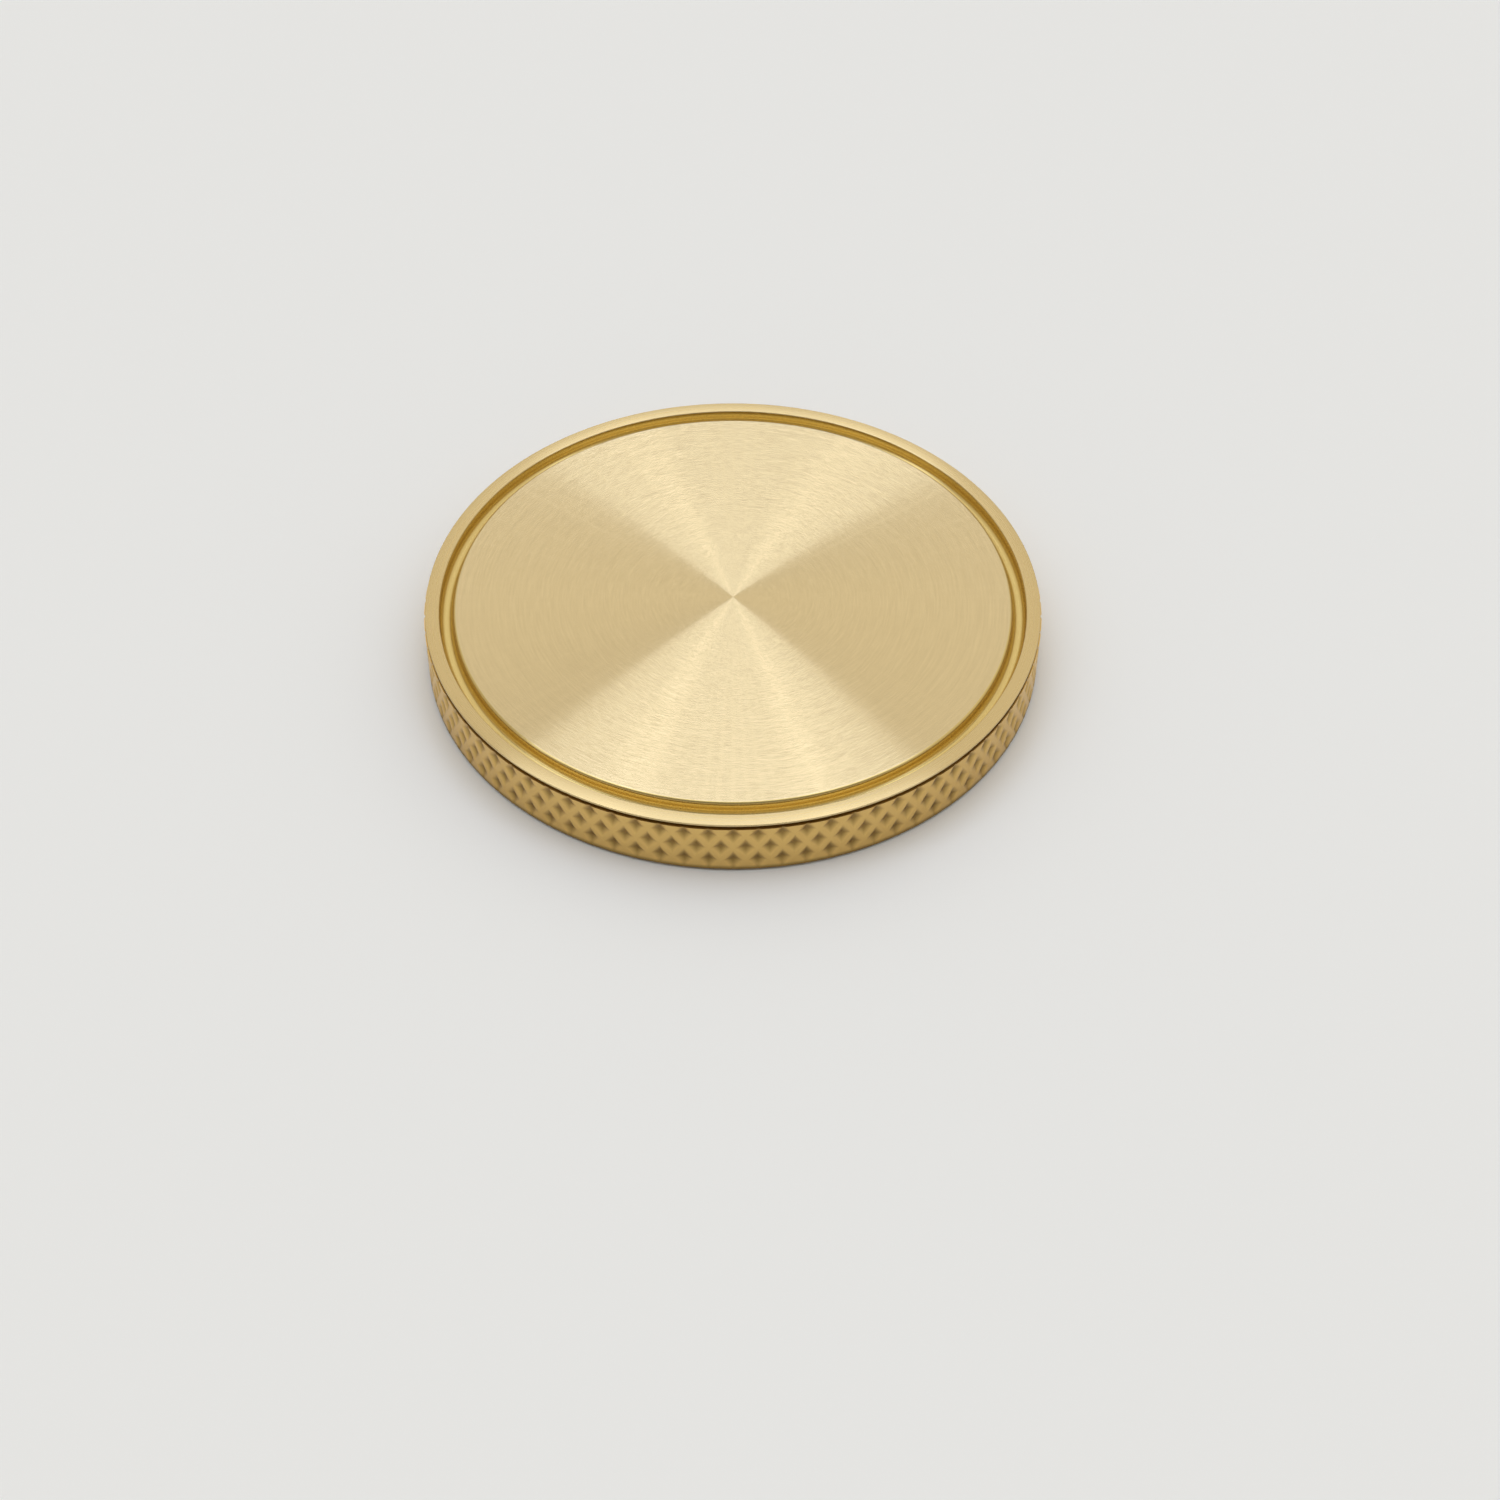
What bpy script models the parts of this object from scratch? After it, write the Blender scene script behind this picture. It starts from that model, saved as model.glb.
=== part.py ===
"""A golf ball marker: a turned brass disc that magnets hold in a knurled brass carrier.

Metres, +Z up. The origin is the centre of the carrier's underside.
"""

import math

import bmesh
import bpy

# Carrier, turned from round bar
OUTER_DIAMETER = 0.03175  # over the crests of the knurl
THICKNESS = 0.003175  # from the underside to the rim and the marker's face
RIM_SETBACK = 0.00006  # the rim's edge lies this far inside the crests
RIM_WIDTH = 0.00072  # flat land between the groove and the rim's edge
RIM_EDGE_BREAK = 0.00005
RIM_LAND = 0.0001  # plain height under the rim, above the relief
RELIEF_HEIGHT = 0.00016  # undercut between the rim and the knurl
RELIEF_INSET = 0.00002  # the undercut's root lies this far inside the pits of the knurl
FOOT_HEIGHT = 0.0002  # plain land under the knurl
FOOT_SETBACK = 0.00016  # the land lies this far inside the crests
FOOT_EDGE_BREAK = 0.00005
FLOOR_THICKNESS = 0.0016  # from the underside to the marker's seat
PUSH_HOLE_DIAMETER = 0.008
PUSH_HOLE_CHAMFER = 0.0003

# Knurl
KNURL_COUNT = 84  # diamond pits round the edge
KNURL_DEPTH = 0.00015
KNURL_ANGLE = math.radians(34.4)  # of the ridges between the pits, from the axis
KNURL_START = 0.0007  # from the rim's face down to the middle of the first row of pits
KNURL_RIDGE = 0.38  # share of each diamond that its ridges take
KNURL_FLAT = 0.2  # share of each diamond that is the flat bottom of its pit

# Groove between the marker and the rim
GROOVE_WIDTH = 0.0007
GROOVE_DEPTH = 0.0007
GROOVE_ARC_STEPS = 6

# Marker disc
FACE_EDGE_BREAK = 0.00018
MARKER_LIP = 0.00012  # how far the disc reaches into the groove, past its face
MARKER_FOOT_CHAMFER = 0.0002
SEAT_CLEARANCE = 0.00005  # on the radius

# Steel keeper plate under the marker
KEEPER_DIAMETER = 0.022
KEEPER_THICKNESS = 0.0005
KEEPER_INSET = 0.0001  # its underside lies this far above the marker's
KEEPER_CLEARANCE = 0.00005  # on the radius
KEEPER_EDGE_BREAK = 0.00008

# Magnets in the carrier's floor
MAGNET_COUNT = 4
MAGNET_DIAMETER = 0.005
MAGNET_THICKNESS = 0.001
MAGNET_CIRCLE_DIAMETER = 0.0165
MAGNET_INSET = 0.00005  # its top lies this far under the seat
MAGNET_CLEARANCE = 0.00005  # on the radius
MAGNET_EDGE_BREAK = 0.00012

# Facets round each turned piece
CARRIER_STEPS = 168
DISC_STEPS = 84
KEEPER_STEPS = 48
HOLE_STEPS = 48
MAGNET_STEPS = 32
SMOOTH_LIMIT = math.radians(25)  # edges bent more than this stay sharp
MERGE_DISTANCE = 0.000001
CUT_OVERSHOOT = 0.0005  # how far a cutter stands out of the face that it enters

# Places that follow from the sizes above
crest_radius = OUTER_DIAMETER / 2
root_radius = crest_radius - KNURL_DEPTH
relief_radius = root_radius - RELIEF_INSET
foot_radius = crest_radius - FOOT_SETBACK
rim_radius = crest_radius - RIM_SETBACK
groove_outer_radius = rim_radius - RIM_WIDTH
groove_middle_radius = groove_outer_radius - GROOVE_WIDTH / 2
face_radius = groove_outer_radius - GROOVE_WIDTH
disc_radius = face_radius + MARKER_LIP
seat_radius = disc_radius + SEAT_CLEARANCE
keeper_radius = KEEPER_DIAMETER / 2
magnet_radius = MAGNET_DIAMETER / 2
knurl_top = THICKNESS - RIM_LAND - RELIEF_HEIGHT
knurl_half_pitch = math.pi * crest_radius / KNURL_COUNT
knurl_row_height = knurl_half_pitch / math.tan(KNURL_ANGLE)
knurl_reach = knurl_half_pitch * math.cos(KNURL_ANGLE)  # from the middle of a diamond to its sides
pit_half_height = knurl_row_height * (1 - KNURL_RIDGE)


def collection(name):
    made = bpy.data.collections.new(name)
    bpy.context.scene.collection.children.link(made)
    return made


def metal(name, colour, roughness):
    material = bpy.data.materials.new(name)
    material.use_nodes = True
    shader = material.node_tree.nodes["Principled BSDF"]
    shader.inputs["Base Color"].default_value = (*colour, 1)
    shader.inputs["Metallic"].default_value = 1
    shader.inputs["Roughness"].default_value = roughness
    material.diffuse_color = (*colour, 1)
    return material


def turned(name, outline, steps):
    """Mesh of an outline of (radius, height) points, from the top down, turned about Z."""
    profile = bpy.data.meshes.new(name)
    edges = [(i, i + 1) for i in range(len(outline) - 1)]
    profile.from_pydata([(radius, 0, height) for radius, height in outline], edges, [])
    lathe = bpy.data.objects.new(name, profile)
    bpy.context.scene.collection.objects.link(lathe)
    turn = lathe.modifiers.new("turn", "SCREW")
    turn.axis = "Z"
    turn.steps = steps
    turn.render_steps = steps
    turn.use_merge_vertices = True
    turn.merge_threshold = MERGE_DISTANCE
    graph = bpy.context.evaluated_depsgraph_get()
    mesh = bpy.data.meshes.new_from_object(lathe.evaluated_get(graph))
    bpy.data.objects.remove(lathe)
    bpy.data.meshes.remove(profile)
    mesh.name = name
    return mesh


def placed(name, mesh, material, height=0, parent=None):
    """The named object of a piece, on the axis at this height above its parent."""
    mesh.shade_smooth()
    mesh.set_sharp_from_angle(angle=SMOOTH_LIMIT)
    mesh.materials.append(material)
    piece = bpy.data.objects.new(name, mesh)
    piece.location.z = height
    piece.parent = parent
    parts.objects.link(piece)
    return piece


def cutter(name, mesh, location):
    tool = bpy.data.objects.new(name, mesh)
    tool.location = location
    tool.hide_render = True
    tool.display_type = "WIRE"
    cutters.objects.link(tool)


def plug(radius, height, edge):
    """Outline of a plain disc that stands on its origin, with broken edges."""
    return [
        (0, height),
        (radius - edge, height),
        (radius, height - edge),
        (radius, edge),
        (radius - edge, 0),
        (0, 0),
    ]


def groove(start_radius, end_radius):
    """Points along the groove's round bottom, between two radii."""
    half = GROOVE_WIDTH / 2
    round_depth = min(half, GROOVE_DEPTH)
    ends = [max(-1, min(1, (r - groove_middle_radius) / half)) for r in (start_radius, end_radius)]
    start, end = (math.acos(share) for share in ends)
    points = []
    for step in range(GROOVE_ARC_STEPS + 1):
        angle = start + (end - start) * step / GROOVE_ARC_STEPS
        radius = groove_middle_radius + half * math.cos(angle)
        height = THICKNESS - GROOVE_DEPTH + round_depth * (1 - math.sin(angle))
        points.append((radius, height))
    return points


def magnet_places():
    """Where each magnet stands, on the floor of its pocket."""
    height = FLOOR_THICKNESS - MAGNET_INSET - MAGNET_THICKNESS
    for number in range(MAGNET_COUNT):
        angle = 2 * math.pi * (number + 0.5) / MAGNET_COUNT
        reach = MAGNET_CIRCLE_DIAMETER / 2
        yield number + 1, (reach * math.cos(angle), reach * math.sin(angle), height)


def lay_out_knurl(model):
    """One pitch of the knurl, unrolled: diamond pits between crossed ridges, cut off at the band's ends.

    X runs round the carrier, Z up, and Y from the crests into the metal. The top row of pits runs out
    into the relief, and the lowest one ends above the foot.
    """
    start = THICKNESS - KNURL_START
    first_row = math.floor((start - knurl_top) / knurl_row_height)
    last_row = math.ceil((start - FOOT_HEIGHT) / knurl_row_height)
    pits = []
    for row in range(first_row, last_row + 1):
        x = row % 2 * knurl_half_pitch
        z = start - row * knurl_row_height
        corners = [
            (x - knurl_half_pitch, 0, z),
            (x, 0, z - knurl_row_height),
            (x + knurl_half_pitch, 0, z),
            (x, 0, z + knurl_row_height),
        ]
        diamond = model.faces.new([model.verts.new(corner) for corner in corners])
        if z < knurl_top and z - pit_half_height > FOOT_HEIGHT:
            pits.append(diamond)
    model.normal_update()
    slope = knurl_reach * (1 - KNURL_RIDGE - KNURL_FLAT)
    for width, depth in ((knurl_reach * KNURL_RIDGE, 0), (slope, KNURL_DEPTH)):
        bmesh.ops.inset_individual(model, faces=pits, thickness=width, depth=-depth, use_even_offset=True)
    for height, side in ((knurl_top, 1), (FOOT_HEIGHT, -1)):
        bmesh.ops.bisect_plane(
            model,
            geom=[*model.verts, *model.edges, *model.faces],
            dist=MERGE_DISTANCE,
            plane_co=(0, 0, height),
            plane_no=(0, 0, side),
            clear_outer=True,
        )


def roll_knurl(model):
    """Bends the laid-out pitch round the carrier and repeats it all the way round."""
    for point in model.verts:
        angle = point.co.x / crest_radius
        radius = crest_radius - point.co.y
        point.co.x = radius * math.sin(angle)
        point.co.y = -radius * math.cos(angle)
    bmesh.ops.spin(
        model,
        geom=[*model.verts, *model.edges, *model.faces],
        cent=(0, 0, 0),
        axis=(0, 0, 1),
        angle=2 * math.pi * (KNURL_COUNT - 1) / KNURL_COUNT,
        steps=KNURL_COUNT - 1,
        use_duplicate=True,
    )


def make_carrier():
    cup = [
        (0, FLOOR_THICKNESS),
        (seat_radius, FLOOR_THICKNESS),
        *groove(seat_radius, groove_outer_radius),
        (groove_outer_radius, THICKNESS),
        (rim_radius - RIM_EDGE_BREAK, THICKNESS),
        (rim_radius, THICKNESS - RIM_EDGE_BREAK),
        (rim_radius, THICKNESS - RIM_LAND),
        (relief_radius, THICKNESS - RIM_LAND),
        (relief_radius, knurl_top),
    ]
    foot = [
        (foot_radius, FOOT_HEIGHT),
        (foot_radius, FOOT_EDGE_BREAK),
        (foot_radius - FOOT_EDGE_BREAK, 0),
        (0, 0),
    ]
    model = bmesh.new()
    lay_out_knurl(model)
    roll_knurl(model)
    for outline in (cup, foot):
        model.from_mesh(turned("turning", outline, CARRIER_STEPS))
    bmesh.ops.remove_doubles(model, verts=model.verts, dist=MERGE_DISTANCE)
    for height in (knurl_top, FOOT_HEIGHT):
        shoulder = [
            edge
            for edge in model.edges
            if edge.is_boundary and all(abs(end.co.z - height) < MERGE_DISTANCE for end in edge.verts)
        ]
        bmesh.ops.triangle_fill(model, edges=shoulder, normal=(0, 0, 1), use_beauty=True)
    bmesh.ops.recalc_face_normals(model, faces=model.faces)
    mesh = bpy.data.meshes.new("knurled_carrier")
    model.to_mesh(mesh)
    model.free()
    carrier = placed("knurled_carrier", mesh, metal("knurled brass", (0.72, 0.50, 0.19), 0.3))

    hole_radius = PUSH_HOLE_DIAMETER / 2
    hole = [
        (0, FLOOR_THICKNESS + CUT_OVERSHOOT),
        (hole_radius, FLOOR_THICKNESS + CUT_OVERSHOOT),
        (hole_radius, PUSH_HOLE_CHAMFER),
        (hole_radius + PUSH_HOLE_CHAMFER + CUT_OVERSHOOT, -CUT_OVERSHOOT),
        (0, -CUT_OVERSHOOT),
    ]
    cutter("push_hole_cutter", turned("push_hole_cutter", hole, HOLE_STEPS), (0, 0, 0))
    depth = MAGNET_THICKNESS + MAGNET_INSET + CUT_OVERSHOOT
    pocket_radius = magnet_radius + MAGNET_CLEARANCE
    pocket = [(0, depth), (pocket_radius, depth), (pocket_radius, 0), (0, 0)]
    pocket_mesh = turned("pocket_cutter", pocket, MAGNET_STEPS)
    for number, place in magnet_places():
        cutter(f"pocket_cutter_{number}", pocket_mesh, place)

    drill = carrier.modifiers.new("drill", "BOOLEAN")
    drill.operation = "DIFFERENCE"
    drill.operand_type = "COLLECTION"
    drill.collection = cutters
    drill.solver = "EXACT"


def make_marker():
    """The marker disc and its keeper plate, on an empty that lifts along the axis."""
    lift = bpy.data.objects.new("marker_lift", None)
    lift.location.z = FLOOR_THICKNESS
    parts.objects.link(lift)

    height = THICKNESS - FLOOR_THICKNESS
    recess_radius = keeper_radius + KEEPER_CLEARANCE
    recess_height = KEEPER_INSET + KEEPER_THICKNESS
    cove = [(r, z - FLOOR_THICKNESS) for r, z in groove(face_radius, disc_radius)]
    cove = [point for point in cove if point[1] < height - FACE_EDGE_BREAK]
    outline = [
        (0, height),
        (face_radius - FACE_EDGE_BREAK, height),
        (face_radius, height - FACE_EDGE_BREAK),
        *cove,
        (disc_radius, MARKER_FOOT_CHAMFER),
        (disc_radius - MARKER_FOOT_CHAMFER, 0),
        (recess_radius, 0),
        (recess_radius, recess_height),
        (0, recess_height),
    ]
    brushed = metal("brushed brass", (0.82, 0.62, 0.30), 0.35)
    placed("marker_disc", turned("marker_disc", outline, DISC_STEPS), brushed, parent=lift)

    outline = plug(keeper_radius, KEEPER_THICKNESS, KEEPER_EDGE_BREAK)
    steel = metal("bright steel", (0.56, 0.57, 0.58), 0.35)
    keeper = turned("keeper_plate", outline, KEEPER_STEPS)
    placed("keeper_plate", keeper, steel, height=KEEPER_INSET, parent=lift)


def make_magnets():
    nickel = metal("nickel plate", (0.66, 0.63, 0.58), 0.18)
    outline = plug(magnet_radius, MAGNET_THICKNESS, MAGNET_EDGE_BREAK)
    for number, place in magnet_places():
        name = f"magnet_{number}"
        placed(name, turned(name, outline, MAGNET_STEPS), nickel).location = place


for old in list(bpy.data.objects):
    bpy.data.objects.remove(old)
parts = collection("ball_marker")
cutters = collection("cutters")
make_carrier()
make_marker()
make_magnets()
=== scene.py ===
"""A golf ball marker: a circular-brushed brass disc that magnets hold in a knurled brass carrier.

Metres, +Z up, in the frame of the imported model.
"""

import math

import bmesh
import bpy
from mathutils import Matrix, Quaternion, Vector


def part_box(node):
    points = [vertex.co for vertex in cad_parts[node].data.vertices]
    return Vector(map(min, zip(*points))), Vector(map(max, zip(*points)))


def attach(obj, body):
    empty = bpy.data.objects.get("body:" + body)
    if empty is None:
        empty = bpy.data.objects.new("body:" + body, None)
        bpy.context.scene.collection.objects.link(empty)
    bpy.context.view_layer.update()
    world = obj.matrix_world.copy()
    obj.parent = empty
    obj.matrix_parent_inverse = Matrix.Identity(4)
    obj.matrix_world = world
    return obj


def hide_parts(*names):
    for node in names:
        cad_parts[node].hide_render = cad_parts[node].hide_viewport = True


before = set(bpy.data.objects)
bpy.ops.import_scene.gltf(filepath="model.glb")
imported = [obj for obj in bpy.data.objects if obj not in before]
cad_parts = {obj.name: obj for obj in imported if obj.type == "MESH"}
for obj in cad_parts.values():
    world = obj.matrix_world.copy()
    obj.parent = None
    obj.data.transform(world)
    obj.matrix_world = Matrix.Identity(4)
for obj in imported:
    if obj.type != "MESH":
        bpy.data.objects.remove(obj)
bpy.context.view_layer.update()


# Carrier: a shallow cup turned from brass bar, with a narrow groove inside its polished rim.
# Crossed rollers press the diamond knurl into its side. Its floor has a push-out hole and four
# blind pockets for magnets.
carrier_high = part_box("knurled_carrier")[1]
crest_radius = carrier_high.x
carrier_top = carrier_high.z
turned_steps = 252

rim_setback = 0.00006
rim_radius = crest_radius - rim_setback
rim_width = 0.00072
rim_edge = 0.00004
rim_inner_edge = 0.00005
rim_inner_segments = 4
rim_land = 0.0001
relief_height = 0.00016
relief_inset = 0.00001
groove_radius = rim_radius - rim_width
groove_width = 0.0007
groove_depth = 0.0007
groove_corner = 0.0003
groove_floor = carrier_top - groove_depth
groove_segments = 8
groove_lip = 0.00002
face_radius = groove_radius - groove_width
seat_lip = 0.00017
seat_radius = face_radius + seat_lip
seat_height = 0.0016
foot_height = 0.00012
foot_edge = 0.00004
hole_radius = 0.004
hole_chamfer = 0.0003
edge_segments = 3

knurl_count = 84
knurl_depth = 0.00015
knurl_angle = math.radians(34.4)
knurl_drop = 0.0007
knurl_start = carrier_top - knurl_drop
knurl_ridge = 0.25
knurl_flat = 0.2
knurl_edge = 0.00005
knurl_edge_segments = 2
knurl_bend = 0.1
# Height over which the painted shade along the knurl's foot fades out.
foot_shade_height = 0.0003
knurl_top = carrier_top - rim_land - relief_height
knurl_half_pitch = math.pi * crest_radius / knurl_count
knurl_row_height = knurl_half_pitch / math.tan(knurl_angle)
root_radius = crest_radius - knurl_depth
relief_radius = root_radius - relief_inset

magnet_count = 4
magnet_radius = 0.0025
magnet_reach = 0.00825
magnet_foot = 0.00055
pocket_clearance = 0.00005
pocket_radius = magnet_radius + pocket_clearance
pocket_steps = 64
pocket_edge = 0.00004

finest_rings = 600
finest_streaks = 20

near = 0.000002
same_point = near / 4
sharp_angle = math.radians(40)


def turn_outline(model, outline, steps):
    """Turns (radius, height) points full circle about Z."""
    points = [model.verts.new((radius, 0, height)) for radius, height in outline]
    edges = [model.edges.new(pair) for pair in zip(points, points[1:])]
    bmesh.ops.spin(
        model,
        geom=points + edges,
        axis=(0, 0, 1),
        angle=2 * math.pi,
        steps=steps,
        use_merge=True,
    )


def turned(outline, steps):
    """A closed mesh of an outline that starts and ends on the axis."""
    model = bmesh.new()
    turn_outline(model, outline, steps)
    bmesh.ops.remove_doubles(model, verts=model.verts, dist=same_point)
    return model


def reach(point):
    """Distance of a point from the axis."""
    return math.hypot(point.x, point.y)


def ring(model, radius, height):
    """The edges of a turned mesh's circle of this radius at this height."""
    on_ring = {
        point
        for point in model.verts
        if abs(reach(point.co) - radius) < near and abs(point.co.z - height) < near
    }
    return [edge for edge in model.edges if set(edge.verts) <= on_ring]


def soften(model, edges, size, segments):
    """Rounds these edges over this width."""
    bmesh.ops.bevel(
        model,
        geom=edges,
        offset=size,
        offset_type="OFFSET",
        affect="EDGES",
        segments=segments,
        profile=0.5,
        material=-1,
        clamp_overlap=True,
    )


def finished(name, model, materials, pick=None):
    """The piece of a closed mesh, with even normals. pick gives a face's material from its middle."""
    bmesh.ops.recalc_face_normals(model, faces=model.faces)
    if pick is not None:
        for face in model.faces:
            face.material_index = materials.index(pick(face.calc_center_median()))
    mesh = bpy.data.meshes.new(name)
    model.to_mesh(mesh)
    model.free()
    mesh.shade_smooth()
    mesh.set_sharp_from_angle(angle=sharp_angle)
    for material in materials:
        mesh.materials.append(material)
    piece = bpy.data.objects.new(name, mesh)
    bpy.context.scene.collection.objects.link(piece)
    even = piece.modifiers.new("even normals", "WEIGHTED_NORMAL")
    even.keep_sharp = True
    even.weight = 100
    graph = bpy.context.evaluated_depsgraph_get()
    piece.data = bpy.data.meshes.new_from_object(piece.evaluated_get(graph), depsgraph=graph)
    piece.modifiers.clear()
    bpy.data.meshes.remove(mesh)
    piece.data.name = name
    return piece


def add_node(tree, kind, inputs=(), **settings):
    """A shader node with these settings, whose inputs take a value or another node's output."""
    node = tree.nodes.new(kind)
    for name, value in settings.items():
        setattr(node, name, value)
    for name, value in dict(inputs).items():
        if isinstance(value, bpy.types.NodeSocket):
            tree.links.new(value, node.inputs[name])
        else:
            node.inputs[name].default_value = value
    return node


def node_group(name, inputs, outputs):
    """An empty shader group with its input and output nodes."""
    group = bpy.data.node_groups.new(name, "ShaderNodeTree")
    for label in inputs:
        group.interface.new_socket(label, in_out="INPUT", socket_type="NodeSocketFloat")
    for label, kind in outputs.items():
        group.interface.new_socket(label, in_out="OUTPUT", socket_type=kind)
    given = group.nodes.new("NodeGroupInput").outputs
    made = group.nodes.new("NodeGroupOutput").inputs
    return group, given, made


# Fine rings that a tool or a brush leaves round the axis, each fading in and out along its way.
# The finest of them tilt the surface to and from the axis.
turning_marks, given, made = node_group(
    "turning marks",
    ["Rings per mm", "Streaks", "Tilt"],
    {"Marks": "NodeSocketFloat", "Normal": "NodeSocketVector"},
)
place = add_node(turning_marks, "ShaderNodeTexCoord").outputs["Object"]
flat_place = add_node(
    turning_marks, "ShaderNodeVectorMath", {0: place, 1: (1000, 1000, 0)}, operation="MULTIPLY"
).outputs[0]
radius_mm = add_node(
    turning_marks, "ShaderNodeVectorMath", {0: flat_place}, operation="LENGTH"
).outputs[1]
heading = add_node(
    turning_marks, "ShaderNodeVectorMath", {0: flat_place}, operation="NORMALIZE"
).outputs[0]


def rings(per_mm, streaks, detail):
    """Noise that runs in rings round the axis."""
    spread = add_node(
        turning_marks, "ShaderNodeVectorMath", {0: heading, 3: streaks}, operation="SCALE"
    ).outputs[0]
    count = add_node(
        turning_marks, "ShaderNodeMath", {0: radius_mm, 1: per_mm}, operation="MULTIPLY"
    ).outputs[0]
    across = add_node(turning_marks, "ShaderNodeCombineXYZ", {"Z": count}).outputs[0]
    track = add_node(
        turning_marks, "ShaderNodeVectorMath", {0: spread, 1: across}, operation="ADD"
    ).outputs[0]
    return add_node(
        turning_marks, "ShaderNodeTexNoise", {"Vector": track, "Scale": 1, "Detail": detail, "Roughness": 0.6}
    ).outputs["Fac"]


marks = rings(given["Rings per mm"], given["Streaks"], 3)
scratches = rings(finest_rings, finest_streaks, 1)
slope = add_node(turning_marks, "ShaderNodeMath", {0: scratches, 1: 0.5}, operation="SUBTRACT").outputs[0]
slope = add_node(
    turning_marks, "ShaderNodeMath", {0: slope, 1: given["Tilt"]}, operation="MULTIPLY"
).outputs[0]
tilt = add_node(
    turning_marks, "ShaderNodeVectorMath", {0: heading, 3: slope}, operation="SCALE"
).outputs[0]
normal = add_node(turning_marks, "ShaderNodeNewGeometry").outputs["Normal"]
normal = add_node(turning_marks, "ShaderNodeVectorMath", {0: normal, 1: tilt}, operation="ADD").outputs[0]
normal = add_node(turning_marks, "ShaderNodeVectorMath", {0: normal}, operation="NORMALIZE").outputs[0]
turning_marks.links.new(marks, made["Marks"])
turning_marks.links.new(normal, made["Normal"])


def turned_metal(name, dark, light, smoothest, roughest, anisotropy, rings_per_mm, streaks, tilt):
    """Metal with rings of turning or brushing: its gloss spreads out across them."""
    material = bpy.data.materials.new(name)
    material.use_nodes = True
    tree = material.node_tree
    shader = tree.nodes["Principled BSDF"]
    lines = add_node(
        tree,
        "ShaderNodeGroup",
        {"Rings per mm": rings_per_mm, "Streaks": streaks, "Tilt": tilt},
        node_tree=turning_marks,
    ).outputs
    colour = add_node(
        tree, "ShaderNodeMix", {0: lines["Marks"], 6: (*dark, 1), 7: (*light, 1)}, data_type="RGBA"
    ).outputs[2]
    gloss = add_node(
        tree, "ShaderNodeMapRange", {"Value": lines["Marks"], "To Min": smoothest, "To Max": roughest}
    ).outputs[0]
    round_axis = add_node(tree, "ShaderNodeTangent", direction_type="RADIAL", axis="Z").outputs[0]
    tree.links.new(colour, shader.inputs["Base Color"])
    tree.links.new(gloss, shader.inputs["Roughness"])
    tree.links.new(lines["Normal"], shader.inputs["Normal"])
    tree.links.new(round_axis, shader.inputs["Tangent"])
    shader.inputs["Metallic"].default_value = 1
    shader.inputs["Anisotropic"].default_value = anisotropy
    shader.inputs["Anisotropic Rotation"].default_value = 0.25
    return material


brushed_brass = turned_metal(
    "brushed brass",
    dark=(0.615, 0.51, 0.308),
    light=(0.74, 0.618, 0.382),
    smoothest=0.18,
    roughest=0.22,
    anisotropy=1,
    rings_per_mm=10,
    streaks=5,
    tilt=2.2,
)
polished_brass = turned_metal(
    "polished brass",
    dark=(0.63, 0.50, 0.262),
    light=(0.67, 0.535, 0.285),
    smoothest=0.25,
    roughest=0.3,
    anisotropy=1,
    rings_per_mm=9,
    streaks=3,
    tilt=0.2,
)
turned_brass = turned_metal(
    "turned brass",
    dark=(0.63, 0.485, 0.195),
    light=(0.68, 0.535, 0.225),
    smoothest=0.2,
    roughest=0.3,
    anisotropy=0.6,
    rings_per_mm=9,
    streaks=3,
    tilt=0.3,
)

# Knurled brass: brass crests, with painted shade darkening the pits between them and a band of painted shade
# along the foot of the knurl.
knurled_brass = bpy.data.materials.new("knurled brass")
knurled_brass.use_nodes = True
tree = knurled_brass.node_tree
shader = tree.nodes["Principled BSDF"]
place = add_node(tree, "ShaderNodeTexCoord").outputs["Object"]
flat_place = add_node(
    tree, "ShaderNodeVectorMath", {0: place, 1: (1, 1, 0)}, operation="MULTIPLY"
).outputs[0]
from_axis = add_node(tree, "ShaderNodeVectorMath", {0: flat_place}, operation="LENGTH").outputs[1]
# Painted shade: the colour darkens from the crests down into the pits of the knurl.
height = add_node(
    tree,
    "ShaderNodeMapRange",
    {"Value": from_axis, "From Min": root_radius, "From Max": crest_radius},
).outputs[0]
# Painted shade: a dark band along the foot of the knurl, fading out over a short height above it.
above_floor = add_node(tree, "ShaderNodeSeparateXYZ", {0: place}).outputs["Z"]
foot_shade_fade = add_node(
    tree,
    "ShaderNodeMapRange",
    {"Value": above_floor, "From Min": foot_height, "From Max": foot_height + foot_shade_height},
    interpolation_type="SMOOTHSTEP",
).outputs[0]
out_of_painted_shade = add_node(tree, "ShaderNodeMath", {0: height, 1: foot_shade_fade}, operation="MULTIPLY").outputs[0]
grain = add_node(
    tree, "ShaderNodeTexNoise", {"Vector": place, "Scale": 5000, "Detail": 3, "Roughness": 0.6}
).outputs["Fac"]
# The dark colour is the painted shade in the pits and along the foot; the light colour is the crests' brass.
colour = add_node(
    tree, "ShaderNodeMix", {0: out_of_painted_shade, 6: (0.30, 0.19, 0.06, 1), 7: (0.74, 0.50, 0.17, 1)}, data_type="RGBA"
).outputs[2]
gloss = add_node(
    tree, "ShaderNodeMapRange", {"Value": grain, "To Min": 0.28, "To Max": 0.42}
).outputs[0]
bump = add_node(
    tree, "ShaderNodeBump", {"Strength": 0.5, "Distance": 0.000004, "Height": grain}
).outputs[0]
tree.links.new(colour, shader.inputs["Base Color"])
tree.links.new(gloss, shader.inputs["Roughness"])
tree.links.new(bump, shader.inputs["Normal"])
shader.inputs["Metallic"].default_value = 1


def all_of(model):
    return [*model.verts, *model.edges, *model.faces]


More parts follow.
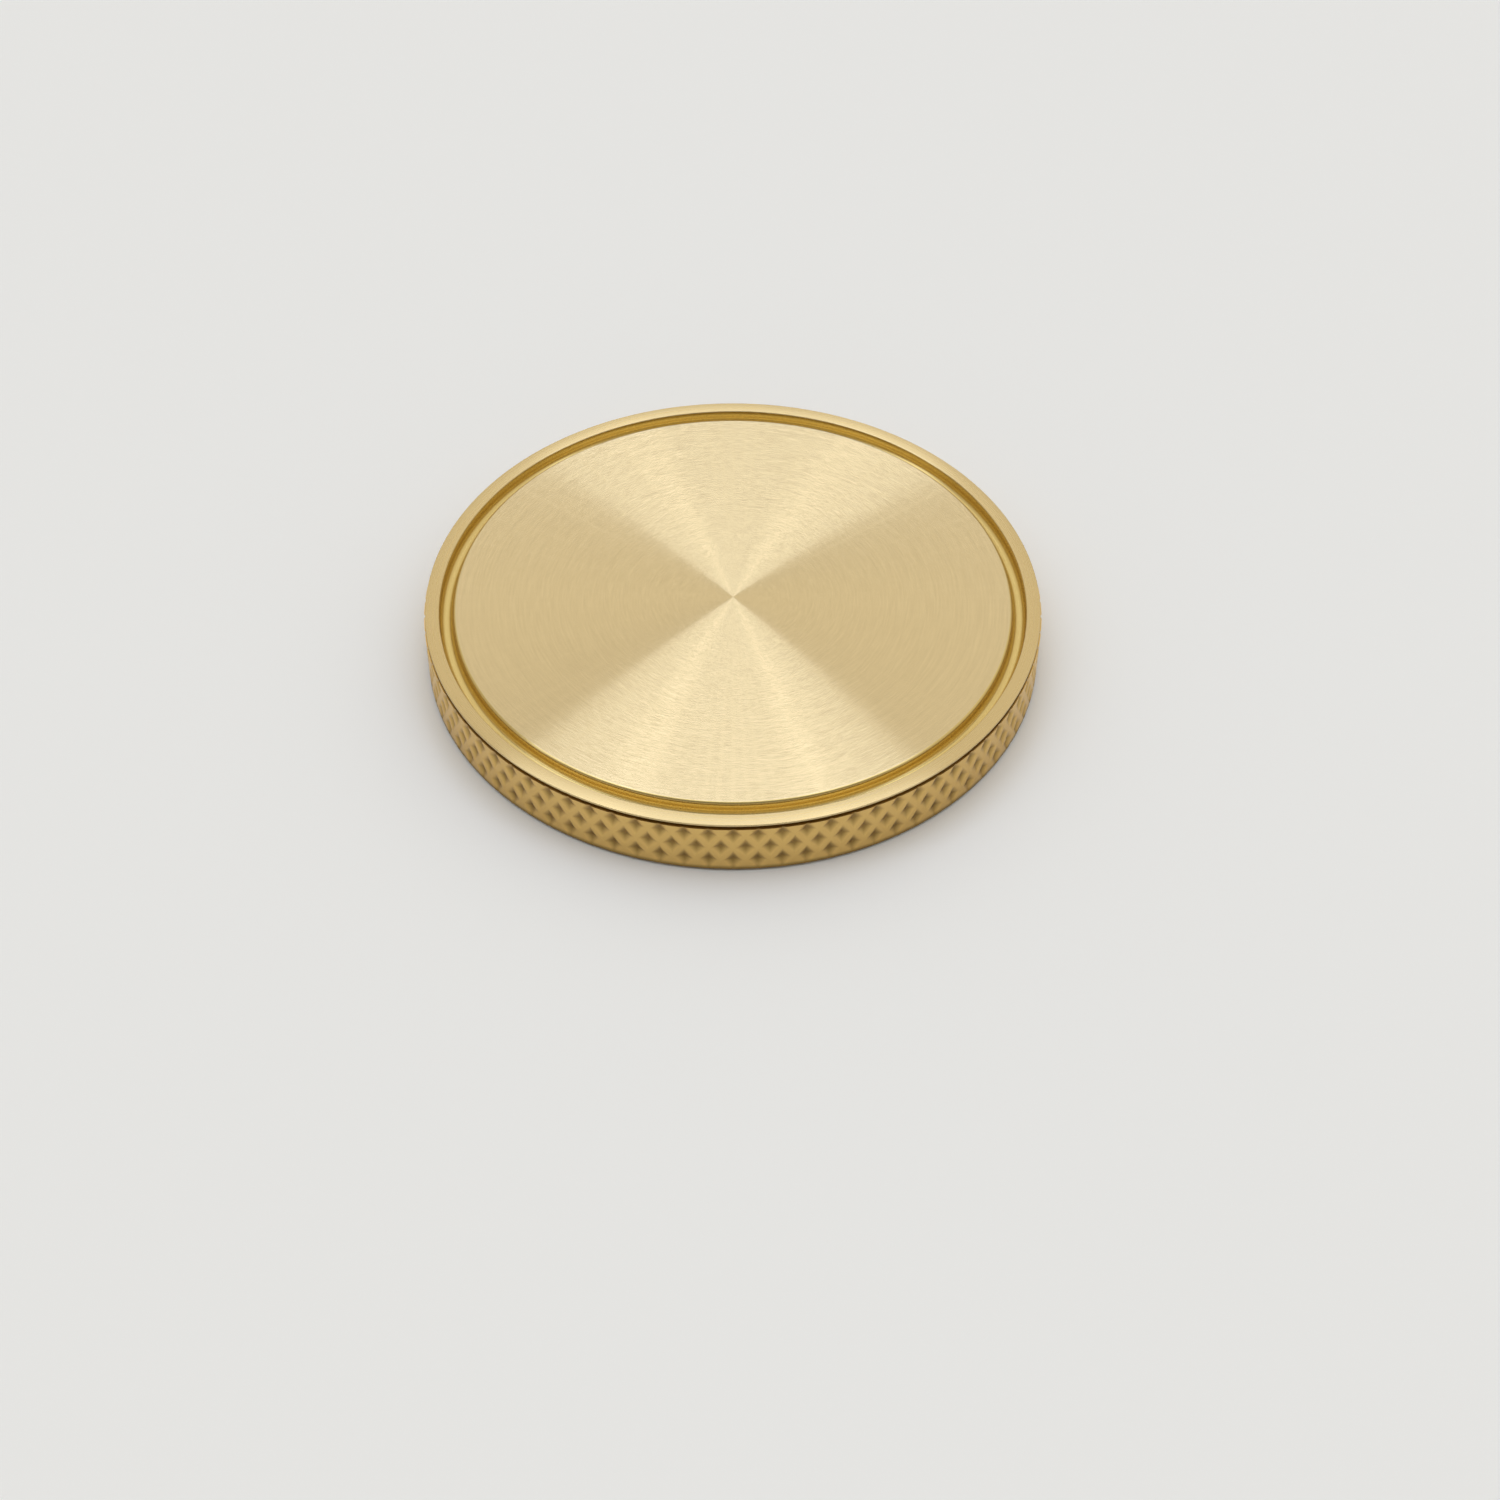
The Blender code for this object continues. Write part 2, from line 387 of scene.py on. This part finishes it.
def lay_out_knurl(model):
    """One pitch of the knurl, unrolled: X runs round the carrier, and Y from the crests into the metal."""
    first_row = math.floor((knurl_start - knurl_top) / knurl_row_height)
    last_row = math.ceil((knurl_start - foot_height) / knurl_row_height)
    pits = []
    for row in range(first_row, last_row + 1):
        x = row % 2 * knurl_half_pitch
        z = knurl_start - row * knurl_row_height
        corners = [
            (x - knurl_half_pitch, 0, z),
            (x, 0, z - knurl_row_height),
            (x + knurl_half_pitch, 0, z),
            (x, 0, z + knurl_row_height),
        ]
        diamond = model.faces.new([model.verts.new(corner) for corner in corners])
        if foot_height < z < knurl_top:
            pits.append(diamond)
    model.normal_update()
    side_reach = knurl_half_pitch * math.cos(knurl_angle)
    slope = side_reach * (1 - knurl_ridge - knurl_flat)
    for width, depth in ((side_reach * knurl_ridge, 0), (slope, knurl_depth)):
        bmesh.ops.inset_individual(model, faces=pits, thickness=width, depth=-depth, use_even_offset=True)
    bends = [edge for edge in model.edges if edge.calc_face_angle(0) > knurl_bend]
    soften(model, bends, knurl_edge, knurl_edge_segments)
    for height, side in ((knurl_top, 1), (foot_height, -1)):
        bmesh.ops.bisect_plane(
            model,
            geom=all_of(model),
            dist=same_point,
            plane_co=(0, 0, height),
            plane_no=(0, 0, side),
            clear_outer=True,
        )


def roll_knurl(model):
    """Bends the laid-out pitch round the carrier and repeats it all the way round."""
    for point in model.verts:
        angle = point.co.x / crest_radius
        radius = crest_radius - point.co.y
        point.co.x = radius * math.sin(angle)
        point.co.y = -radius * math.cos(angle)
    bmesh.ops.spin(
        model,
        geom=all_of(model),
        axis=(0, 0, 1),
        angle=2 * math.pi * (knurl_count - 1) / knurl_count,
        steps=knurl_count - 1,
        use_duplicate=True,
    )


def groove_bend(middle_radius, start, end):
    """Points along a rounded corner of the groove's floor, between two slopes."""
    points = []
    for step in range(groove_segments + 1):
        slope = start + (end - start) * step / groove_segments
        radius = middle_radius + groove_corner * math.sin(slope)
        points.append((radius, groove_floor + groove_corner * (1 - math.cos(slope))))
    return points


def groove_slope(radius):
    """Slope of the groove's inner corner at this radius."""
    return math.asin((radius - face_radius) / groove_corner - 1)


carrier = bmesh.new()
lay_out_knurl(carrier)
roll_knurl(carrier)
turn_outline(
    carrier,
    [
        (seat_radius, seat_height),
        *groove_bend(face_radius + groove_corner, groove_slope(seat_radius), 0),
        *groove_bend(groove_radius - groove_corner, 0, math.pi / 2),
        (groove_radius, carrier_top),
        (rim_radius, carrier_top),
        (rim_radius, carrier_top - rim_land),
        (relief_radius, carrier_top - rim_land),
        (relief_radius, knurl_top),
    ],
    turned_steps,
)
turn_outline(
    carrier,
    [
        (relief_radius, foot_height),
        (relief_radius, 0),
        (hole_radius + hole_chamfer, 0),
        (hole_radius, hole_chamfer),
        (hole_radius, seat_height),
    ],
    turned_steps,
)
bmesh.ops.remove_doubles(carrier, verts=carrier.verts, dist=same_point)
for height in (knurl_top, foot_height):
    shoulder = [
        edge
        for edge in carrier.edges
        if edge.is_boundary and all(abs(end.co.z - height) < near for end in edge.verts)
    ]
    bmesh.ops.triangle_fill(carrier, edges=shoulder, normal=(0, 0, 1), use_beauty=True)
soften(carrier, ring(carrier, groove_radius, carrier_top), rim_inner_edge, rim_inner_segments)
soften(carrier, ring(carrier, rim_radius, carrier_top), rim_edge, edge_segments)
soften(carrier, ring(carrier, rim_radius, carrier_top - rim_land), groove_lip, edge_segments)
soften(carrier, ring(carrier, relief_radius, 0), foot_edge, edge_segments)

# The seat is cut out round the pockets, which are then sunk into the floor.
seat_edges = ring(carrier, seat_radius, seat_height) + ring(carrier, hole_radius, seat_height)
pocket_rims = []
for number in range(magnet_count):
    angle = 2 * math.pi * (number + 0.5) / magnet_count
    middle = Vector((magnet_reach * math.cos(angle), magnet_reach * math.sin(angle), seat_height))
    circle = bmesh.ops.create_circle(
        carrier, segments=pocket_steps, radius=pocket_radius, matrix=Matrix.Translation(middle)
    )
    pocket_rims.append(list({edge for point in circle["verts"] for edge in point.link_edges}))
for pocket_rim in pocket_rims:
    seat_edges += pocket_rim
bmesh.ops.triangle_fill(carrier, edges=seat_edges, normal=(0, 0, 1), use_beauty=True)
for pocket_rim in pocket_rims:
    wall = bmesh.ops.extrude_edge_only(carrier, edges=pocket_rim)["geom"]
    foot = [part for part in wall if isinstance(part, bmesh.types.BMVert)]
    bmesh.ops.translate(carrier, verts=foot, vec=(0, 0, magnet_foot - seat_height))
    foot_edges = [
        part for part in wall if isinstance(part, bmesh.types.BMEdge) and set(part.verts) <= set(foot)
    ]
    bmesh.ops.edgeloop_fill(carrier, edges=foot_edges)
    soften(carrier, pocket_rim, pocket_edge, 1)


def carrier_finish(middle):
    if reach(middle) > relief_radius - foot_edge and middle.z < carrier_top - rim_land - near:
        return knurled_brass
    if middle.z > carrier_top - rim_land and reach(middle) > groove_radius:
        return polished_brass
    return turned_brass


carrier_piece = finished(
    "carrier_cup", carrier, [turned_brass, polished_brass, knurled_brass], carrier_finish
)
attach(carrier_piece, "carrier")
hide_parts("knurled_carrier")


# Magnets: nickel-plated discs, bonded into the carrier's pockets a hair under its seat.
magnet_top = 0.00155
magnet_edge = 0.00012

nickel = bpy.data.materials.new("nickel plate")
nickel.use_nodes = True
tree = nickel.node_tree
shader = tree.nodes["Principled BSDF"]
place = add_node(tree, "ShaderNodeTexCoord").outputs["Object"]
cloud = add_node(
    tree, "ShaderNodeTexNoise", {"Vector": place, "Scale": 900, "Detail": 4, "Roughness": 0.6}
).outputs["Fac"]
colour = add_node(
    tree, "ShaderNodeMix", {0: cloud, 6: (0.58, 0.55, 0.5, 1), 7: (0.72, 0.69, 0.64, 1)}, data_type="RGBA"
).outputs[2]
gloss = add_node(tree, "ShaderNodeMapRange", {"Value": cloud, "To Min": 0.12, "To Max": 0.3}).outputs[0]
bump = add_node(
    tree, "ShaderNodeBump", {"Strength": 0.4, "Distance": 0.000002, "Height": cloud}
).outputs[0]
tree.links.new(colour, shader.inputs["Base Color"])
tree.links.new(gloss, shader.inputs["Roughness"])
tree.links.new(bump, shader.inputs["Normal"])
shader.inputs["Metallic"].default_value = 1

for number in range(magnet_count):
    angle = 2 * math.pi * (number + 0.5) / magnet_count
    magnet = turned(
        [
            (0, magnet_top),
            (magnet_radius, magnet_top),
            (magnet_radius, magnet_foot),
            (0, magnet_foot),
        ],
        pocket_steps,
    )
    soften(magnet, ring(magnet, magnet_radius, magnet_top), magnet_edge, edge_segments)
    soften(magnet, ring(magnet, magnet_radius, magnet_foot), magnet_edge, edge_segments)
    bmesh.ops.translate(
        magnet, verts=magnet.verts, vec=(magnet_reach * math.cos(angle), magnet_reach * math.sin(angle), 0)
    )
    magnet_piece = finished(f"magnet_disc_{number + 1}", magnet, [nickel])
    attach(magnet_piece, "carrier")
    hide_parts(f"magnet_{number + 1}")


# Marker: the brass disc itself. Its face is brushed in circles, its edge is rounded, and below the
# edge a cove makes the inner wall of the groove. A recess underneath takes the keeper.
disc_steps = 256
face_edge = 0.00018
face_edge_segments = 5
brushed_depth = 0.000005
disc_clearance = 0.00001
disc_radius = seat_radius - disc_clearance
disc_foot_chamfer = 0.0002
recess_radius = 0.01105
recess_top = 0.0022

disc = turned(
    [
        (0, carrier_top),
        (face_radius, carrier_top),
        *groove_bend(face_radius + groove_corner, -math.pi / 2, groove_slope(disc_radius)),
        (disc_radius, seat_height + disc_foot_chamfer),
        (disc_radius - disc_foot_chamfer, seat_height),
        (recess_radius, seat_height),
        (recess_radius, recess_top),
        (0, recess_top),
    ],
    disc_steps,
)
soften(disc, ring(disc, face_radius, carrier_top), face_edge, face_edge_segments)
soften(disc, ring(disc, recess_radius, seat_height), pocket_edge, 2)


def disc_finish(middle):
    return brushed_brass if middle.z > carrier_top - brushed_depth else turned_brass


disc_piece = finished("brushed_disc", disc, [turned_brass, brushed_brass], disc_finish)
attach(disc_piece, "marker")
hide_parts("marker_disc")


# Keeper: a thin disc blanked from ground steel strip and bonded into the marker's recess, so that
# the magnets have something to hold.
keeper_radius = 0.011
keeper_foot = 0.0017
keeper_edge = 0.00008

ground_steel = bpy.data.materials.new("ground steel")
ground_steel.use_nodes = True
tree = ground_steel.node_tree
shader = tree.nodes["Principled BSDF"]
place = add_node(tree, "ShaderNodeTexCoord").outputs["Object"]
stretched = add_node(tree, "ShaderNodeMapping", {"Vector": place, "Scale": (300, 9000, 300)}).outputs[0]
grind = add_node(
    tree, "ShaderNodeTexNoise", {"Vector": stretched, "Scale": 1, "Detail": 4, "Roughness": 0.65}
).outputs["Fac"]
colour = add_node(
    tree, "ShaderNodeMix", {0: grind, 6: (0.44, 0.45, 0.46, 1), 7: (0.62, 0.63, 0.64, 1)}, data_type="RGBA"
).outputs[2]
gloss = add_node(tree, "ShaderNodeMapRange", {"Value": grind, "To Min": 0.25, "To Max": 0.45}).outputs[0]
bump = add_node(
    tree, "ShaderNodeBump", {"Strength": 0.6, "Distance": 0.000003, "Height": grind}
).outputs[0]
tree.links.new(colour, shader.inputs["Base Color"])
tree.links.new(gloss, shader.inputs["Roughness"])
tree.links.new(bump, shader.inputs["Normal"])
shader.inputs["Metallic"].default_value = 1

keeper = turned(
    [(0, recess_top), (keeper_radius, recess_top), (keeper_radius, keeper_foot), (0, keeper_foot)], disc_steps
)
soften(keeper, ring(keeper, keeper_radius, recess_top), keeper_edge, edge_segments)
soften(keeper, ring(keeper, keeper_radius, keeper_foot), keeper_edge, edge_segments)
keeper_piece = finished("keeper_disc", keeper, [ground_steel])
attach(keeper_piece, "marker")
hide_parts("keeper_plate")


# Floor: a wide sheet of matt white card.
floor_radius = 2.0
floor_gap = 0.00001

card = bpy.data.materials.new("white card")
card.use_nodes = True
tree = card.node_tree
shader = tree.nodes["Principled BSDF"]
shader.inputs["Base Color"].default_value = (0.86, 0.88, 0.89, 1)
shader.inputs["Roughness"].default_value = 1
shader.inputs["Specular IOR Level"].default_value = 0

floor = bmesh.new()
bmesh.ops.create_circle(
    floor,
    cap_ends=True,
    segments=disc_steps,
    radius=floor_radius,
    matrix=Matrix.Translation((0, 0, -floor_gap)),
)
floor_mesh = bpy.data.meshes.new("floor")
floor.to_mesh(floor_mesh)
floor.free()
floor_mesh.materials.append(card)
floor_piece = bpy.data.objects.new("floor", floor_mesh)
bpy.context.scene.collection.objects.link(floor_piece)


# Light: a pale room, darker in front, with low white walls and a plain backdrop, under a wide
# fan-shaped softbox. The fan's tip is where the flat face mirrors the camera, so the brushed face
# shows its two sides as the edges of bright sectors, and its brighter tubes as rays inside them.
room_colour = (0.963, 0.885, 0.745)
room_dimmest = 0.31
room_back = (0.3, 0.95, 0)
room_fade = 0.6
horizon_fade = 0.6
horizon_level = 0.5
wall_level = 0.8
wall_top = (0.2, 0.5)
softbox_colour = (2.27, 2.31, 2.44)
softbox_tip = 0.733
softbox_turn = math.radians(-2.5)
softbox_spread = math.radians(60)
softbox_levels = ((0, 0.77), (15, 0.78), (21.5, 0.99), (28, 0.77), (42.5, 0.72), (43.5, 0))
softbox_front = (-0.4, -0.05)
backdrop_colour = (0.77, 0.77, 0.76)

world = bpy.data.worlds.new("studio")
bpy.context.scene.world = world
world.use_nodes = True
tree = world.node_tree
sky = tree.nodes["Background"]
direction = add_node(tree, "ShaderNodeTexCoord").outputs["Generated"]
parts = add_node(tree, "ShaderNodeSeparateXYZ", {0: direction}).outputs
ahead = add_node(tree, "ShaderNodeMath", {0: softbox_tip, 1: parts["Y"]}, operation="SUBTRACT").outputs[0]
angle = add_node(tree, "ShaderNodeMath", {0: parts["X"], 1: ahead}, operation="ARCTAN2").outputs[0]
angle = add_node(tree, "ShaderNodeMath", {0: angle, 1: softbox_turn}, operation="SUBTRACT").outputs[0]
angle = add_node(tree, "ShaderNodeMath", {0: angle}, operation="ABSOLUTE").outputs[0]
angle = add_node(tree, "ShaderNodeMath", {0: angle, 1: softbox_spread}, operation="DIVIDE").outputs[0]
fan = add_node(tree, "ShaderNodeValToRGB", {"Fac": angle})
stops = fan.color_ramp.elements
stops.remove(stops[1])
for degrees, level in softbox_levels:
    at = math.radians(degrees) / softbox_spread
    stop = stops.new(at) if degrees else stops[0]
    stop.color = (level, level, level, 1)
front = add_node(
    tree,
    "ShaderNodeMapRange",
    {"Value": parts["Y"], "From Min": softbox_front[0], "From Max": softbox_front[1]},
    interpolation_type="SMOOTHSTEP",
).outputs[0]
level = add_node(
    tree, "ShaderNodeMath", {0: fan.outputs["Color"], 1: front}, operation="MULTIPLY"
).outputs[0]
softbox = add_node(
    tree, "ShaderNodeVectorMath", {0: softbox_colour, 3: level}, operation="SCALE"
).outputs[0]
deep = add_node(
    tree, "ShaderNodeVectorMath", {0: direction, 1: room_back}, operation="DOT_PRODUCT"
).outputs[1]
level = add_node(
    tree,
    "ShaderNodeMapRange",
    {"Value": deep, "From Min": -room_fade, "From Max": room_fade, "To Min": room_dimmest, "To Max": 1},
    interpolation_type="SMOOTHSTEP",
).outputs[0]
rise = add_node(
    tree,
    "ShaderNodeMapRange",
    {"Value": parts["Z"], "From Min": 0, "From Max": horizon_fade, "To Min": horizon_level, "To Max": 1},
    interpolation_type="SMOOTHSTEP",
).outputs[0]
level = add_node(tree, "ShaderNodeMath", {0: level, 1: rise}, operation="MULTIPLY").outputs[0]
wall = add_node(
    tree,
    "ShaderNodeMapRange",
    {
        "Value": parts["Z"],
        "From Min": wall_top[0],
        "From Max": wall_top[1],
        "To Min": wall_level,
        "To Max": 0,
    },
    interpolation_type="SMOOTHSTEP",
).outputs[0]
level = add_node(tree, "ShaderNodeMath", {0: level, 1: wall}, operation="MAXIMUM").outputs[0]
room = add_node(tree, "ShaderNodeVectorMath", {0: room_colour, 3: level}, operation="SCALE").outputs[0]
glow = add_node(tree, "ShaderNodeVectorMath", {0: room, 1: softbox}, operation="MAXIMUM").outputs[0]
seen = add_node(tree, "ShaderNodeLightPath").outputs["Is Camera Ray"]
backdrop = add_node(
    tree, "ShaderNodeMix", {0: seen, 6: glow, 7: (*backdrop_colour, 1)}, data_type="RGBA"
).outputs[2]
tree.links.new(backdrop, sky.inputs["Color"])
bpy.context.scene.view_settings.view_transform = "Standard"


# Camera: where the photograph was taken from, with the middle of the face where it shows there.
picture_side = 1500
focal_pixels = 2557
face_pixel = (733.1, 596.9)
camera_elevation = math.radians(43.05)
camera_distance = 0.132

camera_data = bpy.data.cameras.new("camera")
camera_data.sensor_width = 36
camera_data.lens = camera_data.sensor_width * focal_pixels / picture_side
camera_data.clip_start = 0.001
camera = bpy.data.objects.new("camera", camera_data)
bpy.context.scene.collection.objects.link(camera)
back = Vector((0, -math.cos(camera_elevation), math.sin(camera_elevation)))
turn = math.atan((picture_side / 2 - face_pixel[0]) / focal_pixels)
tilt = math.atan((picture_side / 2 - face_pixel[1]) / focal_pixels)
camera.rotation_mode = "QUATERNION"
camera.location = Vector((0, 0, carrier_top)) + camera_distance * back
camera.rotation_quaternion = (
    (-back).to_track_quat("-Z", "Y") @ Quaternion((0, 1, 0), -turn) @ Quaternion((1, 0, 0), -tilt)
)
bpy.context.scene.camera = camera
